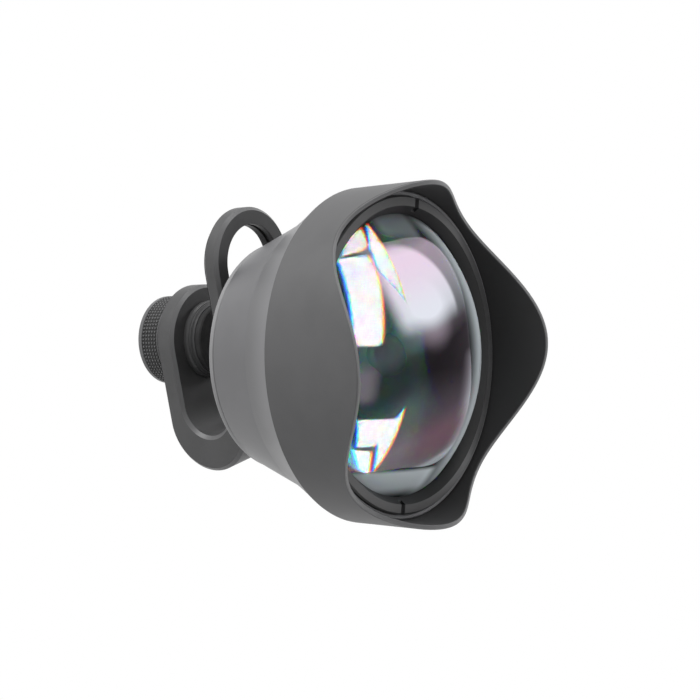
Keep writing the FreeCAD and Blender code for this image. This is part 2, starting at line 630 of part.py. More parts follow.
NODES = {
    "clip_frame": clip_frame,
    "phone_face_pad": phone_face_pad,
    "slide_ring": slide_ring,
    "slide_snap_ring": slide_snap_ring,
    "rear_mount": rear_mount,
    "barrel": barrel,
    "hood": hood,
    "front_crown": front_crown,
    "front_flint": front_flint,
    "front_retaining_ring": front_retaining_ring,
    "front_gasket": front_gasket,
    "lens_cell": lens_cell,
    "middle_lens": middle_lens,
    "middle_retainer": middle_retainer,
    "rear_lens_a": rear_lens_a,
    "rear_spacer": rear_spacer,
    "rear_lens_b": rear_lens_b,
    "rear_retainer": rear_retainer,
    "foot": foot,
    "clamp_pad": clamp_pad,
    "foot_clip": foot_clip,
    "clamp_screw": clamp_screw,
    "knob": knob,
}

os.makedirs("parts", exist_ok=True)
for name, make in NODES.items():
    shape = make()
    box = shape.BoundBox
    print("%-22s solids %d valid %s volume %9.1f  x %6.1f %6.1f  y %6.1f %6.1f  z %6.1f %6.1f" % (
        name, len(shape.Solids), shape.isValid(), shape.Volume,
        box.XMin, box.XMax, box.YMin, box.YMax, box.ZMin, box.ZMax))
    shape.exportStep("parts/%s.step" % name)
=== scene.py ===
import math

import bmesh
import bpy
from mathutils import Matrix, Vector


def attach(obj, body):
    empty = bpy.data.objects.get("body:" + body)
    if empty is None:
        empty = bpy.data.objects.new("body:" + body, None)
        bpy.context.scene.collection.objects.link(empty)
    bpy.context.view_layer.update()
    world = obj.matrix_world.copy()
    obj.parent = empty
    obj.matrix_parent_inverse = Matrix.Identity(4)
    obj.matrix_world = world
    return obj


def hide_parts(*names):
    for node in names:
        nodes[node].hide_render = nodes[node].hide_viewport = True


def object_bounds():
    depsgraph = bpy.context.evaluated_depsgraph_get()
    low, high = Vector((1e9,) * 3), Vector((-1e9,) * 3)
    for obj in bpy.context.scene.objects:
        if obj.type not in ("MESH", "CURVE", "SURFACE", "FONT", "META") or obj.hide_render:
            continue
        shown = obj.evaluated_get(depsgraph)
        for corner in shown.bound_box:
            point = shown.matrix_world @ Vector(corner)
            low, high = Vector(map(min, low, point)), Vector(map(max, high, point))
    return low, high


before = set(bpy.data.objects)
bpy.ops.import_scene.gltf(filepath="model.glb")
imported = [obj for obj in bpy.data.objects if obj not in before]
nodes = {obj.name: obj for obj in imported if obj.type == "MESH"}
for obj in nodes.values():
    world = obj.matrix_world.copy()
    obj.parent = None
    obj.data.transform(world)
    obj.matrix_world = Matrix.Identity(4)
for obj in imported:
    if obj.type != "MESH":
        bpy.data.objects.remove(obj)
cad_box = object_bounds()
MM = 0.001


# Camera. A long lens looks at the front of the barrel from the left and a little above, rolled so that
# the clip leans to the left as it does in the photograph.

SENSOR = 36.0
FOCAL_PIXELS = 1476.07
FRAME_PIXELS = 700.0
camera_place = Vector((-0.26416, -0.23229, 0.06757))
camera_right = Vector((0.57852, -0.80142, -0.15177))
camera_up = Vector((0.24721, -0.00504, 0.96895))
camera_back = camera_right.cross(camera_up)

camera = bpy.data.objects.new("camera", bpy.data.cameras.new("camera"))
camera.data.sensor_width = SENSOR
camera.data.lens = SENSOR * FOCAL_PIXELS / FRAME_PIXELS
camera.data.clip_start = 0.01
camera.data.clip_end = 20.0
turn = Matrix((camera_right, camera_up, camera_back)).transposed().to_4x4()
camera.matrix_world = Matrix.Translation(camera_place) @ turn
bpy.context.scene.collection.objects.link(camera)
bpy.context.scene.camera = camera
bpy.context.scene.view_settings.view_transform = "Standard"


# Floor and light. The table is white to the camera and to reflections, well below the object, which floats
# as a clipped lens does on a phone that is held up. The key lamp is high at the left, weaker ones stand
# behind, above and in front, and a small one at the right lights the hood's inside.

class Wire:
    """One output of a node, or the start of a tree when it has no socket. Sums on wires add Math nodes."""

    def __init__(self, tree, socket=None):
        self.tree = tree
        self.socket = socket

    def node(self, kind, output=0, settings=None, sockets=None):
        """Adds a node, sets its settings first and then its sockets, and gives one of its outputs."""
        made = self.tree.nodes.new("ShaderNode" + kind)
        for name, value in (settings or {}).items():
            if name == "stops":
                set_stops(made.color_ramp.elements, value)
            else:
                setattr(made, name, value)
        for name, value in (sockets or {}).items():
            if isinstance(value, Wire):
                self.tree.links.new(value.socket, made.inputs[name])
            else:
                made.inputs[name].default_value = value
        return Wire(self.tree, made.outputs[output]) if made.outputs else made

    def sum(self, operation, first, second=0.0):
        return self.node("Math", 0, {"operation": operation}, {0: first, 1: second})

    def __add__(self, other):
        return self.sum("ADD", self, other)

    def __radd__(self, other):
        return self.sum("ADD", other, self)

    def __sub__(self, other):
        return self.sum("SUBTRACT", self, other)

    def __rsub__(self, other):
        return self.sum("SUBTRACT", other, self)

    def __mul__(self, other):
        return self.sum("MULTIPLY", self, other)

    def __rmul__(self, other):
        return self.sum("MULTIPLY", other, self)

    def __truediv__(self, other):
        return self.sum("DIVIDE", self, other)

    def __gt__(self, other):
        return self.sum("GREATER_THAN", self, other)

    def __lt__(self, other):
        return self.sum("LESS_THAN", self, other)

    def step(self, low, high):
        """A soft step: 0 below low, 1 above high."""
        return self.node("MapRange", 0, {"interpolation_type": "SMOOTHSTEP"},
                         {"Value": self, "From Min": low, "From Max": high})


def set_stops(elements, stops):
    while len(elements) < len(stops):
        elements.new(1.0)
    for element, (place, colour) in zip(elements, stops):
        element.position = place
        element.color = (*colour, 1.0) if isinstance(colour, tuple) else (colour, colour, colour, 1.0)


def new_material(name):
    """An empty material, and the wire that starts its tree."""
    material = bpy.data.materials.new(name)
    material.use_nodes = True
    material.node_tree.nodes.clear()
    return material, Wire(material.node_tree)


def finish_material(start, surface):
    start.node("OutputMaterial", 0, None, {"Surface": surface})


def mix_shaders(start, factor, first, second):
    return start.node("MixShader", 0, None, {"Fac": factor, 1: first, 2: second})


FLOOR_DROP = 0.16
FLOOR_SIZE = 3.0
AMBIENT = 0.22

floor_mesh = bpy.data.meshes.new("floor")
floor_build = bmesh.new()
bmesh.ops.create_grid(floor_build, x_segments=4, y_segments=4, size=FLOOR_SIZE)
bmesh.ops.translate(floor_build, verts=floor_build.verts, vec=(0, 0, cad_box[0][2] - FLOOR_DROP))
floor_build.to_mesh(floor_mesh)
floor_build.free()
floor = bpy.data.objects.new("floor", floor_mesh)
bpy.context.scene.collection.objects.link(floor)


def seen_white(start):
    """1 for a ray that comes from the camera, a mirror or a glass, and 0 for the light itself."""
    seen, mirrored, through = (start.node("LightPath", f"Is {ray} Ray")
                               for ray in ("Camera", "Glossy", "Transmission"))
    return seen.sum("MAXIMUM", seen, seen.sum("MAXIMUM", mirrored, through))


floor_paint, start = new_material("floor_white")
matt = start.node("BsdfDiffuse", 0, None, {"Color": (0.8, 0.8, 0.8, 1.0)})
white = start.node("Emission", 0, None, {"Color": (1.0, 1.0, 1.0, 1.0), "Strength": 1.0})
finish_material(start, mix_shaders(start, seen_white(start), matt, white))
floor.data.materials.append(floor_paint)

world = bpy.data.worlds.new("studio")
bpy.context.scene.world = world
world.use_nodes = True
world.node_tree.nodes.clear()
start = Wire(world.node_tree)
strength = seen_white(start) * (1.0 - AMBIENT) + AMBIENT
sky = start.node("Background", 0, None, {"Color": (1.0, 1.0, 1.0, 1.0), "Strength": strength})
start.node("OutputWorld", 0, None, {"Surface": sky})


def soft_box(name, place, aim, width, height, power):
    """A rectangular studio lamp that points from its place to its aim, in metres and watts."""
    lamp = bpy.data.lights.new(name, "AREA")
    lamp.shape = "RECTANGLE"
    lamp.size = width
    lamp.size_y = height
    lamp.energy = power
    carrier = bpy.data.objects.new(name, lamp)
    carrier.location = place
    carrier.rotation_euler = (Vector(aim) - Vector(place)).to_track_quat("-Z", "Y").to_euler()
    bpy.context.scene.collection.objects.link(carrier)
    carrier.visible_camera = False
    return carrier


soft_box("left_rear_box", (-0.34, 0.28, 0.04), (0, -0.02, 0), 0.30, 0.40, 0.34)
soft_box("high_left_box", (-0.24, 0.10, 0.56), (0, -0.03, 0), 0.30, 0.30, 3.4)
soft_box("top_box", (0.12, -0.14, 0.55), (0, -0.03, 0), 0.3, 0.3, 1.1)
right_box = soft_box("right_box", (0.60, -0.27, 0.10), (0, -0.045, 0), 0.15, 0.15, 2.8)
right_box.visible_glossy = False
soft_box("front_fill", (-0.20, -0.80, 0.20), (0, -0.03, 0), 0.5, 0.5, 0.9)


# Anodised aluminium, for every machined piece. The parts are turned or milled, blasted to a fine satin and
# dyed black, so the finish is a dark grey with a fine grain, faint cloudiness and the cutter's marks.

GRAIN_SCALE = 5200.0
CLOUD_SCALE = 95.0
GRAIN_HEIGHT = 0.25
GRAIN_DEPTH = 0.00004
FEED_SLANT = 1.37        # millimetres along for each one out, so that flat faces carry rings too
COARSE_MARKS = 0.31      # of the fine marks' frequency


def place_of(start):
    """The point of the object, in metres, as a vector and as its three parts."""
    point = start.node("TexCoord", "Object")
    return point, [start.node("SeparateXYZ", axis, None, {0: point}) for axis in "XYZ"]


def noise(start, point, scale, detail=2.0, roughness=0.5):
    return start.node("TexNoise", "Fac", None,
                      {"Vector": point, "Scale": scale, "Detail": detail, "Roughness": roughness})


def radius_of(parts, centre_z=0.0):
    """Distance from the lens axis, or from the screw's axis, in millimetres."""
    across, _, up = parts
    up = up - centre_z * MM
    return across.sum("SQRT", across * across + up * up) * 1000.0


def blend_colours(start, factor, first, second):
    return start.node("Mix", 2, {"data_type": "RGBA"}, {0: factor, 6: first, 7: second})


def tone(value, tint=(1.0, 1.0, 1.02)):
    return tuple(value * part for part in tint) + (1.0,)


def turning_marks(start, along, radius, pitch):
    """The cutter's fine uneven feed marks on a turned face, from its place along and out from the axis."""
    path = (along * 1000.0 + radius * FEED_SLANT) / pitch
    coarse = start.node("TexNoise", "Fac", {"noise_dimensions": "1D"},
                        {"W": path * COARSE_MARKS, "Scale": 1.0, "Detail": 2.0, "Roughness": 0.6})
    fine = start.node("TexNoise", "Fac", {"noise_dimensions": "1D"},
                      {"W": path, "Scale": 1.0, "Detail": 1.0, "Roughness": 0.5})
    return coarse * 0.5 + fine * 0.5


def anodised(name, value, roughness, marks=0.0, pitch=0.11, centre_z=0.0, extra=None, spread=0.16,
             specular=0.3):
    """Satin anodised metal. The extra function may change the colour and add to the height."""
    material, start = new_material(name)
    point, parts = place_of(start)
    radius = radius_of(parts, centre_z)
    cloud = noise(start, point, CLOUD_SCALE, 3.0, 0.55)
    speck = noise(start, point, GRAIN_SCALE, 1.0)
    level = cloud.step(0.32, 0.68) * 0.7 + speck.step(0.3, 0.7) * 0.3
    height = speck * GRAIN_HEIGHT
    if marks:
        lines = turning_marks(start, parts[1], radius, pitch)
        level = level * 0.75 + lines * 0.25
        height = height + lines * marks
    colour = blend_colours(start, level, tone(value * (1 - spread)), tone(value * (1 + spread)))
    rough = level * 0.08 + (roughness - 0.04)
    if extra:
        colour, height, rough = extra(start, parts, radius, colour, height, rough)
    bump = start.node("Bump", 0, None, {"Height": height, "Strength": 0.22, "Distance": GRAIN_DEPTH})
    surface = start.node("BsdfPrincipled", 0, None, {
        "Base Color": colour, "Roughness": rough, "Normal": bump, "Metallic": 0.0,
        "Specular IOR Level": specular, "IOR": 1.5})
    finish_material(start, surface)
    return material


# Clip frame. One U of aluminium, milled all round with a long slot in its front leg, its edges broken by a
# bevel, then blasted and anodised. The cutter leaves faint lines along the sides, and the bevels carry a
# painted highlight.

CLIP_TONE = 0.06
MILL_PITCH = 0.22
BEND_TOP = -9.5
BEVEL_HIGHLIGHT_TONE = 0.12
BEVEL_FACING = (0.5, 0.86)      # how far a bevel's normal looks along one axis


def dress(material, *names):
    """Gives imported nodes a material."""
    for name in names:
        nodes[name].data.materials.clear()
        nodes[name].data.materials.append(material)


def milled_lines_and_bevel_highlight(start, parts, radius, colour, height, rough):
    """Fine lines from the side of the cutter, and a painted highlight on the bevels."""
    path = (parts[2] * 1000.0 + parts[1] * 120.0) / MILL_PITCH
    lines = start.node("TexNoise", "Fac", {"noise_dimensions": "1D"},
                       {"W": path, "Scale": 1.0, "Detail": 2.0})
    normal = start.node("TexCoord", "Normal")
    across, along = (start.node("SeparateXYZ", axis, None, {0: normal}) for axis in "XY")
    across, along = across.sum("ABSOLUTE", across), along.sum("ABSOLUTE", along)
    over_bend = parts[2] > BEND_TOP * MM
    low, high = BEVEL_FACING
    bevel = (along > low) * (along < high) * over_bend
    bevel = bevel.sum("MAXIMUM", bevel, (across > low) * (across < high) * (1.0 - over_bend))
    # Painted highlight: the bevels are lighter than the faces.
    colour = blend_colours(start, bevel, colour, tone(BEVEL_HIGHLIGHT_TONE))
    return colour, height + lines * 0.12, rough + (lines - 0.5) * 0.04 - bevel * 0.06


clip_metal = anodised("clip_metal", CLIP_TONE, 0.44, extra=milled_lines_and_bevel_highlight)
dress(clip_metal, "clip_frame")


# Rubber. The face pad behind the front leg, the disc on the foot and the seal under the front ring are cut
# or moulded from matte black rubber, a little dusty, and glued or laid in.

def rubber(name, value):
    material, start = new_material(name)
    point, _ = place_of(start)
    dust = noise(start, point, 260.0, 4.0, 0.6).step(0.42, 0.75)
    skin = noise(start, point, 3600.0, 2.0)
    colour = blend_colours(start, dust, tone(value), tone(value * 1.9))
    bump = start.node("Bump", 0, None, {"Height": skin, "Strength": 0.3, "Distance": 0.00005})
    finish_material(start, start.node("BsdfPrincipled", 0, None, {
        "Base Color": colour, "Roughness": dust * 0.12 + 0.72, "Normal": bump, "Specular IOR Level": 0.25}))
    return material


black_rubber = rubber("black_rubber", 0.018)
dress(black_rubber, "phone_face_pad", "clamp_pad", "front_gasket")


# Slide ring and its snap ring. The turned ring carries the 17 mm lens thread and runs up and down the slot,
# held there by a sprung steel ring in the slot's groove.

THREAD_PITCH = 0.75
THREAD_BAND = (8.2, 8.62)
THREAD_TONE = 0.16
THREAD_HEIGHT = 6.0      # of the blasted grain's height


def threaded(start, parts, radius, colour, height, rough):
    """The lens thread's ridges, on the faces at its radius only."""
    angle = parts[0].sum("ARCTAN2", parts[2], parts[0]) / (2 * math.pi)
    wave = (parts[1] * (1000.0 / THREAD_PITCH) + angle) * (2 * math.pi)
    ridge = wave.sum("SINE", wave) * 0.5 + 0.5
    band = (radius > THREAD_BAND[0]) * (radius < THREAD_BAND[1])
    relief_tone = blend_colours(start, ridge * band, colour, tone(THREAD_TONE))
    return relief_tone, height + ridge * band * THREAD_HEIGHT, rough


slide_metal = anodised("slide_metal", 0.09, 0.42, marks=0.5, extra=threaded)
dress(slide_metal, "slide_ring")


def steel(name, value, roughness):
    """Plain ground steel, streaked along its length by polishing."""
    material, start = new_material(name)
    point, parts = place_of(start)
    streak = turning_marks(start, parts[1], radius_of(parts), 0.05)
    smear = noise(start, point, 420.0, 3.0)
    colour = blend_colours(start, smear, tone(value * 0.85, (1.0, 1.0, 1.0)),
                           tone(value * 1.1, (1.0, 0.99, 0.97)))
    bump = start.node("Bump", 0, None, {"Height": streak, "Strength": 0.12, "Distance": 0.00003})
    finish_material(start, start.node("BsdfPrincipled", 0, None, {
        "Base Color": colour, "Metallic": 1.0, "Roughness": smear * 0.14 + (roughness - 0.07),
        "Normal": bump}))
    return material


spring_steel = steel("spring_steel", 0.36, 0.34)
dress(spring_steel, "slide_snap_ring", "foot_clip")


# Rear mount. The turned piece that closes the barrel: a bright-edged rim, a plate, the neck and the stub
# with the lens thread that screws into the slide ring. Bored right through for the light.

mount_metal = anodised("mount_metal", 0.24, 0.38, marks=0.8, pitch=0.13, extra=threaded)
dress(mount_metal, "rear_mount")


# Barrel. A turned aluminium cone that flares out to the hood, finely blasted, with its front lip round the
# retaining ring. Its bore is painted dark as shade and its front lip carries a painted highlight. The flare
# is painted darker where it starts and lighter towards the hood.

BARREL_TONE = 0.125
BARREL_BORE_SHADE = 0.03
LIP_HIGHLIGHT_TONE = 0.2
LIP_PLACE = -44.7
BORE_PLACE = -35.0
BORE_R = 35.75
FLARE_REAR = 25.0
FLARE_SHADE = 0.8
FLARE_SHINE = 1.12


def barrel_painted_light(start, parts, radius, colour, height, rough):
    """Painted shade in the bore and a painted highlight on the front lip; the flare painted darker, then
    paler.
    """
    along = parts[1] * 1000.0
    # Painted shade in the bore, and a painted highlight on the front lip.
    bore = (along < BORE_PLACE) * (radius < BORE_R)
    colour = blend_colours(start, bore, colour, tone(BARREL_BORE_SHADE))
    colour = blend_colours(start, along < LIP_PLACE, colour, tone(LIP_HIGHLIGHT_TONE))
    # Painted shade where the flare starts, rising to a painted highlight towards the hood.
    forward = 0.0 - along
    shade = blend_colours(start, forward > FLARE_REAR, tone(1.0), tone(FLARE_SHADE))
    shade = blend_colours(start, forward.step(FLARE_REAR, -BORE_PLACE), shade, tone(FLARE_SHINE))
    colour = start.node("Mix", 2, {"data_type": "RGBA", "blend_type": "MULTIPLY"},
                        {0: 1.0, 6: colour, 7: shade})
    return colour, height, rough


barrel_metal = anodised("barrel_metal", BARREL_TONE, 0.36, marks=0.5, pitch=0.12, extra=barrel_painted_light,
                        spread=0.1)
dress(barrel_metal, "barrel")


# Hood. Two long side petals and two short ones above and below, turned as one thin shell, milled to shape
# and pressed over the barrel's front. Blasted matte black outside and rougher inside. The inside is painted
# darker as shade, and the thin edge between the faces carries a painted highlight.

HOOD_TONE = 0.095
HOOD_INSIDE_SHADE = 0.042
HOOD_REAR = -35.1
HOOD_TAPER = 0.02
HOOD_EDGE = (37.05, 38.0)
HOOD_EDGE_HIGHLIGHT = 0.17


def hood_painted_light(start, parts, radius, colour, height, rough):
    """Paints shade on the inside of the shell, and a highlight on the thin milled edge between the two
    faces.
    """
    along = parts[1] * 1000.0
    wall = radius - (HOOD_REAR - along) * HOOD_TAPER
    # Painted shade on the inside, and a painted highlight on the thin edge.
    inside = wall < HOOD_EDGE[0]
    edge = (wall > HOOD_EDGE[0]) * (wall < HOOD_EDGE[1])
    shade = blend_colours(start, edge, colour, tone(HOOD_EDGE_HIGHLIGHT))
    return blend_colours(start, inside, shade, tone(HOOD_INSIDE_SHADE)), height, rough + inside * 0.2


hood_metal = anodised("hood_metal", HOOD_TONE, 0.5, extra=hood_painted_light, spread=0.08, specular=0.25)
dress(hood_metal, "hood")


# Lens cell and its retainers. A black inner tube, turned with sharp ridges that trap stray light, carries
# the middle and rear elements, each held by a threaded ring.

cell_metal = anodised("cell_metal", 0.012, 0.62, marks=1.2, pitch=0.5, specular=0.2)
dress(cell_metal, "lens_cell", "middle_retainer", "rear_spacer", "rear_retainer")


# Retaining ring. A turned ring with two spanner slots screws in front of the glass. Its face is satin and
# catches the light, its bore is blackened.

RING_TONE = 0.085
RING_BORE = 33.35
RING_BORE_TONE = 0.02


def ring_bore(start, parts, radius, colour, height, rough):
    return blend_colours(start, radius < RING_BORE, colour, tone(RING_BORE_TONE)), height, rough


ring_metal = anodised("ring_metal", RING_TONE, 0.42, marks=0.6, pitch=0.1, extra=ring_bore)
dress(ring_metal, "front_retaining_ring")


# Front glass. A domed crown cemented to a flint behind it, both polished, with their edges blackened. The
# dome carries a multi-layer coating whose lilac, rose and pale blue reflections are painted onto it by
# place, and painted crystal highlights on its left side stand for light thrown back like a prism.

DOME_IOR = 1.52
CLEAR = (1.0, 1.0, 1.0)
LILAC = (0.86, 0.70, 0.85)
ROSE = (0.88, 0.50, 0.66)
SKY = (0.78, 0.86, 0.92)
GREEN = (0.35, 0.75, 0.66)
VIOLET = (0.5, 0.45, 0.8)
# DEEP tints the dome's refraction dark outside the crystals: painted shade for the dark cell behind.
DEEP = (0.032, 0.08, 0.074)
CEMENT_FACING = 0.6
RIM_FACING = 0.12
RIM_TONE = 0.01


def true_facing(start, behind):
    """How far a face looks along the lens axis: -1 at the front, 1 at the back, seen from either side."""
    normal = start.node("TexCoord", "Normal")
    return start.node("SeparateXYZ", "Y", None, {0: normal}) * (1.0 - behind * 2.0)


def split_light(start, kind, ior, dispersion, colour=CLEAR):
    """Shaders for red, green and blue, each bent by its own amount, so that edges get coloured fringes."""
    rays = []
    for channel in range(3):
        own = [colour[each] if each == channel else 0.0 for each in range(3)]
        rays.append(start.node(kind, 0, None, {
            "Color": (*own, 1.0), "Roughness": 0.0, "IOR": ior + dispersion * (channel - 1)}))
    return rays


def join_light(start, rays):
    red, green, blue = rays
    both = start.node("AddShader", 0, None, {0: red, 1: green})
    return start.node("AddShader", 0, None, {0: both, 1: blue})


def coat_shine(start, colour):
    return start.node("BsdfAnisotropic", 0, None, {"Color": (*colour, 1.0), "Roughness": 0.01})


def finish_lens(start, facing, behind, outer, inner, cement):
    """Joins a lens's outer and inner looks. cement is -1 or 1 where its front or back face is glued."""
    surface = mix_shaders(start, behind, outer, inner)
    if cement:
        glue = start.node("BsdfTransparent", 0, None, {"Color": (*CLEAR, 1.0)})
        surface = mix_shaders(start, facing * cement > CEMENT_FACING, surface, glue)
    blackened = start.node("BsdfPrincipled", 0, None, {"Base Color": tone(RIM_TONE), "Roughness": 0.6})
    rim = facing.sum("ABSOLUTE", facing) < RIM_FACING
    finish_material(start, mix_shaders(start, rim, surface, blackened))


def coated_glass(name, ior, first_coat, second_coat, gain, cement=0):
    """Polished glass whose coating drifts from one colour to another."""
    material, start = new_material(name)
    point, _ = place_of(start)
    behind = start.node("NewGeometry", "Backfacing")
    facing = true_facing(start, behind)
    bent = join_light(start, split_light(start, "BsdfRefraction", ior, 0.01))
    kept = join_light(start, split_light(start, "BsdfGlass", ior, 0.01))
    drift = noise(start, point, 14.0, 1.0).step(0.35, 0.65)
    coat = mix_shaders(start, drift, coat_shine(start, first_coat), coat_shine(start, second_coat))
    mirror = start.node("Fresnel", 0, None, {"IOR": ior}) * gain
    outer = mix_shaders(start, mirror.sum("MINIMUM", mirror, 1.0), bent, coat)
    finish_lens(start, facing, behind, outer, kept, cement)
    return material


# The dome's look is laid out in millimetres, a to the right and b up, turned with the tilt of its
# reflections. The crystals are painted highlights: through them the light comes back unweakened, while
# outside them the refraction is tinted dark as painted shade.

AXIS_TURN = math.radians(-14.0)
DOME_DISPERSION = 0.012
FRINGE = 0.3
CRYSTAL_SOFT = 0.25
PAINTED_CRYSTALS = (
    ((-24.0, 20.5), (-25.5, 2.0), (-19.5, 2.0), (-17.0, 18.5), (-17.5, 21.5)),
    ((-18.5, 27.0), (-23.0, 21.0), (-18.0, 22.5), (-16.0, 24.0), (-15.0, 28.0)),
    ((-13.0, 29.5), (-16.5, 22.5), (-12.5, 11.5), (-12.5, 18.5)),
    ((-16.0, 23.0), (-17.0, 18.5), (-12.5, 11.5)),
    ((-23.0, -13.5), (-21.0, -19.5), (-17.5, -19.5), (-14.5, -13.5)),
    ((-13.0, -11.0), (-17.5, -17.5), (-14.5, -25.5), (-13.5, -19.5)),
    ((-21.5, -20.0), (-18.5, -24.0), (-15.0, -26.0), (-17.5, -20.5)))


def crystal_edges(a, b, corners):
    """Each edge's distance in millimetres, above 0 inside, and its lean. The corners run anticlockwise."""
    edges = []
    for (a1, b1), (a2, b2) in zip(corners, corners[1:] + corners[:1]):
        length = math.hypot(a2 - a1, b2 - b1)
        along_a = (a2 - a1) / length
        along_b = (b2 - b1) / length
        edges.append((b * along_a - a * along_b + (a1 * along_b - b1 * along_a), along_b))
    return edges


def crystal_mask(crystals, shift):
    """1 inside the crystals, all moved by shift along a, and 0 outside them."""
    mask = None
    for edges in crystals:
        filled = None
        for distance, lean in edges:
            half = distance.step(-CRYSTAL_SOFT - shift * lean, CRYSTAL_SOFT - shift * lean)
            filled = filled * half if filled else half
        mask = mask.sum("MAXIMUM", mask, filled) if mask else filled
    return mask


def disc(a, b, circle, soft):
    """1 within a circle, given by its centre and radius in millimetres, and 0 outside it."""
    middle_a, middle_b, radius = circle
    reach = (a - middle_a) * (a - middle_a) + (b - middle_b) * (b - middle_b)
    return 1.0 - reach.sum("SQRT", reach).step(radius - soft, radius + soft)


def between(value, rise, fall):
    """1 between two places and 0 outside them, with a soft rise and a soft fall."""
    return value.step(*rise) * (1.0 - value.step(*fall))


# Painted reflection bands of the coating, from the low to the high side of the dome: the place in
# millimetres and its painted share of the light. They climb to the right, waver a little, and start at the
# crystals. The lobe, glint, arc, patch and right and top shares below are painted reflections and highlights
# as well.

PAINTED_REFLECTION_BANDS = (
    (-32.0, 0.12), (-28.5, 0.26), (-25.6, 0.34), (-24.4, 0.14), (-18.0, 0.15), (-13.0, 0.08), (-6.0, 0.03),
    (-2.0, 0.012), (2.2, 0.02), (5.5, 0.07), (8.0, 0.17), (13.0, 0.30), (17.0, 0.38), (23.0, 0.42),
    (25.5, 0.24), (28.0, 0.20), (32.0, 0.16))
PAINTED_BANDS_CLIMB = 0.33
PAINTED_BANDS_MIDDLE = -4.0
PAINTED_BANDS_WAVER = 1.6
PAINTED_BANDS_START = (-16.0, -11.0)
PAINTED_BANDS_START_CURVE = 0.25
ROSE_TO_LILAC = (-16.0, -9.0)
LOBE = (-8.5, 10.5, 13.2)
LOBE_RISE = (5.8, 11.0)
LOBE_SHINE = 0.56
GLINT = (-6.0, 8.6, 4.5)
GLINT_SHINE = 0.35
OUTER_ARC = (-1.0, 8.0, 18.2)
OUTER_LOSS = 0.75
RIGHT_SHINE = 0.35
PATCH_SHINE = 0.16
MIRROR_SHINE = 0.25
TOP_SHINE = 0.96


def crown_coat_and_painted_reflection(start, a, b, swirl, level, open_glass):
    """The coating of the dome: its painted share of reflected light at each place, and its shader."""
    low, high = PAINTED_REFLECTION_BANDS[0][0], PAINTED_REFLECTION_BANDS[-1][0]
    bands = start.node("ValToRGB", 0, {
        "stops": [((at - low) / (high - low), shine) for at, shine in PAINTED_REFLECTION_BANDS]},
                       {"Fac": (level - low) / (high - low)})
    started = (a + swirl + b.sum("ABSOLUTE", b) * PAINTED_BANDS_START_CURVE).step(*PAINTED_BANDS_START)
    right = a.step(4.0, 15.0) * between(b, ROSE_TO_LILAC, (-1.0, 3.0))
    beyond = (1.0 - disc(a, b, OUTER_ARC, 0.5)) * a.step(0.0, 4.0) * b.step(4.0, 8.0)
    lobe = disc(a, b, LOBE, 1.0) * level.step(*LOBE_RISE)
    patch = (1.0 - (a + swirl).step(-22.5, -18.5)) * between(b, (-11.5, -8.5), (-4.5, -1.0))
    # The share is painted by place, as painted reflections and a painted glint.
    share = (bands * (1.0 - beyond * OUTER_LOSS) + lobe * LOBE_SHINE) * started * open_glass
    share = share + right * RIGHT_SHINE + patch * PATCH_SHINE + disc(a, b, GLINT, GLINT[2]) * GLINT_SHINE
    mirror = start.node("Fresnel", 0, None, {"IOR": DOME_IOR}) * MIRROR_SHINE
    share = share.sum("MINIMUM", share.sum("MAXIMUM", share, mirror), TOP_SHINE)
    # The reflection's colour is painted by place as well: rose low, lilac high, pale blue at the right.
    warm = mix_shaders(start, b.step(*ROSE_TO_LILAC), coat_shine(start, ROSE), coat_shine(start, LILAC))
    cool = right.sum("MAXIMUM", right, 1.0 - level.step(-26.0, -22.0))
    cool = cool.sum("MAXIMUM", cool, between(level, (5.0, 8.0), (10.0, 21.0)) * 0.8)
    return share, mix_shaders(start, cool, warm, coat_shine(start, SKY))


# Painted light over and under the coating: a painted dark band that stands for the barrel's dark inside, a
# painted shade beside the large crystal, and a pale veil of painted stray light along the rim.

DARK_TONE = 0.004
DARK_SHARE = 0.7
SHADE = (-18.6, 0.4, 3.2)
SHADE_COLOUR = (0.085, 0.10, 0.115)
SHADE_SHARE = 0.9
STRAY_LIGHT_COLOUR = (0.66, 0.72, 0.76)
VEIL_GRAZING = (0.62, 0.88)


def matt_colour(start, colour):
    return start.node("BsdfDiffuse", 0, None, {"Color": (*colour, 1.0)})


def crown_veil(start, a, b):
    """The share of stray light at the lower rim, at the upper one, and where the dome is seen at a slant."""
    lower = between(b, (-32.0, -29.0), (-26.0, -24.8)) * (1.0 - a.step(3.0, 8.0))
    upper = b.step(24.5, 27.5) * between(a, (-13.0, -9.0), (-1.0, 3.0))
    slant = start.node("LayerWeight", "Facing", None, {"Blend": 0.5}).step(*VEIL_GRAZING)
    return lower * 0.85 + upper * 0.26 + slant * 0.5


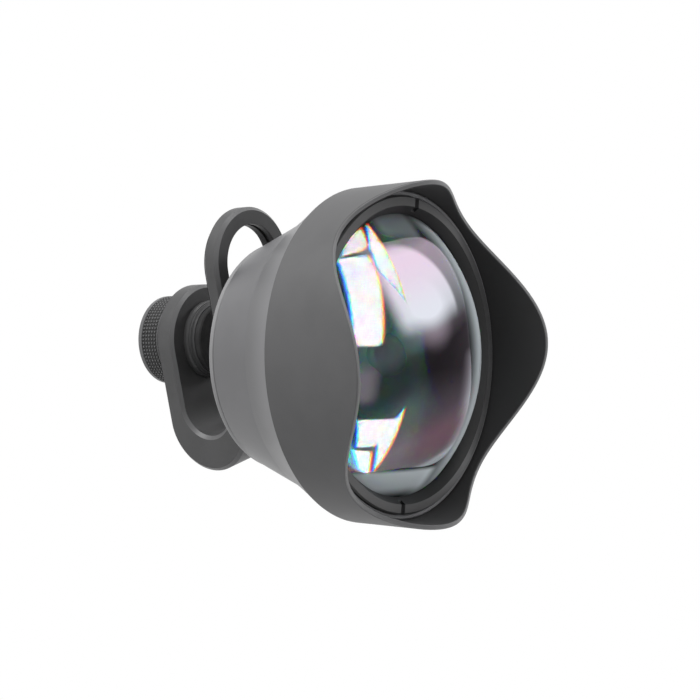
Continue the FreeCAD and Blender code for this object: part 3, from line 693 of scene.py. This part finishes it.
def crown_material():
    """The dome: clear in its painted crystal highlights, painted dark and coated over the rest."""
    material, start = new_material("crown_glass")
    point, (across, _, up) = place_of(start)
    behind = start.node("NewGeometry", "Backfacing")
    facing = true_facing(start, behind)
    swirl = (noise(start, point, 60.0, 1.0) - 0.5) * PAINTED_BANDS_WAVER
    cosine, sine = 1000.0 * math.cos(AXIS_TURN), 1000.0 * math.sin(AXIS_TURN)
    a = across * cosine + up * sine
    b = up * cosine - across * sine
    level = b - (a - PAINTED_BANDS_MIDDLE) * PAINTED_BANDS_CLIMB + swirl

    # Painted highlights: the crystals refract clear, and the rest is tinted DEEP as painted shade.
    crystals = [crystal_edges(a, b, corners) for corners in PAINTED_CRYSTALS]
    masks = [crystal_mask(crystals, FRINGE * (1 - channel)) for channel in range(3)]
    open_glass = 1.0 - masks[1]
    clear = split_light(start, "BsdfRefraction", DOME_IOR, DOME_DISPERSION)
    deep = split_light(start, "BsdfRefraction", DOME_IOR, DOME_DISPERSION, DEEP)
    entering = join_light(start, [mix_shaders(start, *each) for each in zip(masks, deep, clear)])
    kept = join_light(start, split_light(start, "BsdfGlass", DOME_IOR, DOME_DISPERSION))

    # Painted dark band standing for the barrel's dark inside.
    dark = between(level, (-10.0, -3.0), (1.0, 5.0)) * open_glass * DARK_SHARE
    entering = mix_shaders(start, dark, entering, matt_colour(start, tone(DARK_TONE)[:3]))
    # Painted shade beside the large crystal.
    shade = disc(a, b, SHADE, 2.6) * open_glass * SHADE_SHARE
    entering = mix_shaders(start, shade, entering, matt_colour(start, SHADE_COLOUR))
    share, coat = crown_coat_and_painted_reflection(start, a, b, swirl, level, open_glass)
    outer = mix_shaders(start, share, entering, coat)
    # Painted stray light along the rim and at a slant.
    outer = mix_shaders(start, crown_veil(start, a, b), outer, matt_colour(start, STRAY_LIGHT_COLOUR))
    finish_lens(start, facing, behind, outer, kept, 1)
    return material


crown_glass = crown_material()
flint_glass = coated_glass("flint_glass", DOME_IOR, GREEN, VIOLET, 0.7, cement=-1)
dress(crown_glass, "front_crown")
dress(flint_glass, "front_flint")


# Middle and rear elements. Three smaller coated lenses deep in the cell, which show as green and amber
# glints through the front glass.

INNER_IOR = 1.6
AMBER = (0.75, 0.6, 0.4)

inner_glass = coated_glass("inner_glass", INNER_IOR, GREEN, AMBER, 0.8)
dress(inner_glass, "middle_lens", "rear_lens_a", "rear_lens_b")


# Clamp screw. A steel M6 screw, rolled thread from the foot to the knob, with a plain turned tip that the
# foot swivels on. Its other end is fixed in the knob.

SCREW_AXIS_Z = 4.2
SCREW_SPOKES = 48
SCREW_R = 3.0
SCREW_TIP = ((1.8, 11.0), (2.0, 11.2), (2.0, 11.4), (1.6, 11.4), (1.6, 12.1), (2.0, 12.1), (2.0, 13.55),
             (2.98, 13.55))
SCREW_END = ((2.98, 27.6), (2.6, 28.2), (1.2, 28.2), (1.0, 27.6))
THREAD_REAR = 13.6
THREAD_STEP = 0.1
THREAD_STEPS = 84
SCREW_PITCH = 1.0
SCREW_THREAD_DEPTH = 0.5
SCREW_THREAD_GAP = 0.02
CREST = 0.12
FLANK = 0.72
RUN_IN = (13.7, 0.5)
RUN_OUT = (21.9, 0.4)


def turned_piece(name, rows, spokes, material, replaced, bored=False):
    """A skin round the screw's axis, from rows that give (radius, y) in mm. A bored one is a tube."""
    build = bmesh.new()
    rings = []
    for row in rows:
        ring = []
        for spoke in range(spokes):
            angle = 2 * math.pi * spoke / spokes
            radius, along = row(angle, spoke)
            ring.append(build.verts.new((radius * math.cos(angle) * MM, along * MM,
                                         (SCREW_AXIS_Z + radius * math.sin(angle)) * MM)))
        rings.append(ring)
    for first, second in zip(rings, rings[1:] + (rings[:1] if bored else [])):
        for spoke in range(spokes):
            following = (spoke + 1) % spokes
            build.faces.new((first[spoke], first[following], second[following], second[spoke]))
    if not bored:
        build.faces.new(rings[0])
        build.faces.new(rings[-1])
    bmesh.ops.recalc_face_normals(build, faces=build.faces)
    mesh = bpy.data.meshes.new(name)
    build.to_mesh(mesh)
    build.free()
    mesh.materials.append(material)
    piece = bpy.data.objects.new(name, mesh)
    bpy.context.scene.collection.objects.link(piece)
    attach(piece, "screw")
    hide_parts(replaced)


def plain_row(radius, along):
    return lambda angle, spoke: (radius, along)


def thread_row(along):
    """One row of the helical thread: crest and root follow the angle, so the rows join into a spiral."""
    def place(angle, spoke):
        phase = (along / SCREW_PITCH - angle / (2 * math.pi)) % 1.0
        cut = min(max((abs(phase - 0.5) * 2.0 - CREST) / FLANK, 0.0), 1.0)
        start_share = min(max((along - RUN_IN[0]) / RUN_IN[1], 0.0), 1.0)
        end_share = min(max((RUN_OUT[0] - along) / RUN_OUT[1], 0.0), 1.0)
        return SCREW_R - SCREW_THREAD_GAP - SCREW_THREAD_DEPTH * cut * start_share * end_share, along
    return place


screw_rows = [plain_row(*place) for place in SCREW_TIP]
screw_rows += [thread_row(THREAD_REAR + THREAD_STEP * count) for count in range(THREAD_STEPS)]
screw_rows += [plain_row(*place) for place in SCREW_END]
plain_steel = steel("plain_steel", 0.5, 0.3)
turned_piece("threaded_screw", screw_rows, SCREW_SPOKES, plain_steel, "clamp_screw")


# Foot. A stepped aluminium disc that swivels on the screw's tip, with a rubber disc glued to its face.

foot_metal = anodised("foot_metal", 0.06, 0.34, marks=0.8, pitch=0.1, centre_z=SCREW_AXIS_Z)
dress(foot_metal, "foot")


# Knob. Turned aluminium with a square knurl rolled round it, a plain band and a wide bevel at its outer end,
# and a shallow dish in its face. The tips of the knurl are lighter, and the grooves are painted black
# as shade.

KNOB_R = 11.0
KNOB_BORE = 3.02
KNOB_FRONT = 21.0
KNOB_BACK = 28.1
DISH_DEPTH = 0.6
KNURL_TEETH = 75
KNURL_ROWS = 5
KNURL_PITCH = 0.93
KNURL_START = 21.55
KNURL_END = KNURL_START + KNURL_ROWS * KNURL_PITCH
KNURL_DEPTH = 0.34
KNURL_ROOT = KNOB_R - KNURL_DEPTH
KNURL_GAP = 0.01
TOOTH_RISE = (0.0, 0.3, 0.95, 1.0, 0.95, 0.3)
TOOTH_STEPS = len(TOOTH_RISE)
TIP_TONE = 0.125
GROOVE_SHADE_TONE = 0.02


def knurl_row(along, share):
    def place(angle, spoke):
        return KNURL_ROOT - KNURL_GAP + KNURL_DEPTH * TOOTH_RISE[spoke % TOOTH_STEPS] * share, along
    return place


def knurl_tips_and_groove_shade(start, parts, radius, colour, height, rough):
    """The knurl's tips are lighter, and its grooves are painted dark as shade."""
    tip = radius.step(KNOB_R - KNURL_DEPTH * 0.75, KNOB_R - 0.03)
    along = parts[1] * 1000.0
    knurl = (along > KNURL_START) * (along < KNURL_END) * (radius > KNURL_ROOT - 0.05)
    # The grooves are painted dark as shade.
    relief_tone = blend_colours(start, tip, tone(GROOVE_SHADE_TONE), tone(TIP_TONE))
    return blend_colours(start, knurl, colour, relief_tone), height, rough


knob_metal = anodised("knob_metal", 0.11, 0.36, marks=0.7, pitch=0.1, centre_z=SCREW_AXIS_Z,
                      extra=knurl_tips_and_groove_shade)
knob_front_side = ((KNOB_BORE, KNOB_BACK - DISH_DEPTH), (KNOB_BORE, KNOB_FRONT), (KNOB_R - 0.7, KNOB_FRONT),
                   (KNURL_ROOT, KNOB_FRONT + 0.35))
knob_back_side = ((KNURL_ROOT, KNURL_END), (KNOB_R - 0.08, KNURL_END + 0.08), (KNOB_R, KNURL_END + 0.16),
                  (KNOB_R, KNOB_BACK - 0.8), (KNOB_R - 0.06, KNOB_BACK - 0.7),
                  (KNOB_R - 0.75, KNOB_BACK - 0.04), (KNOB_R - 0.85, KNOB_BACK), (7.9, KNOB_BACK),
                  (7.78, KNOB_BACK - 0.03), (7.2, KNOB_BACK - 0.58), (7.1, KNOB_BACK - DISH_DEPTH))
knob_rows = [plain_row(*place) for place in knob_front_side]
for row in range(KNURL_ROWS):
    for count, rise in enumerate(TOOTH_RISE):
        knob_rows.append(knurl_row(KNURL_START + (row + count / TOOTH_STEPS) * KNURL_PITCH, rise))
knob_rows += [plain_row(*place) for place in knob_back_side]
turned_piece("knurled_knob", knob_rows, KNURL_TEETH * TOOTH_STEPS, knob_metal, "knob",
             bored=True)
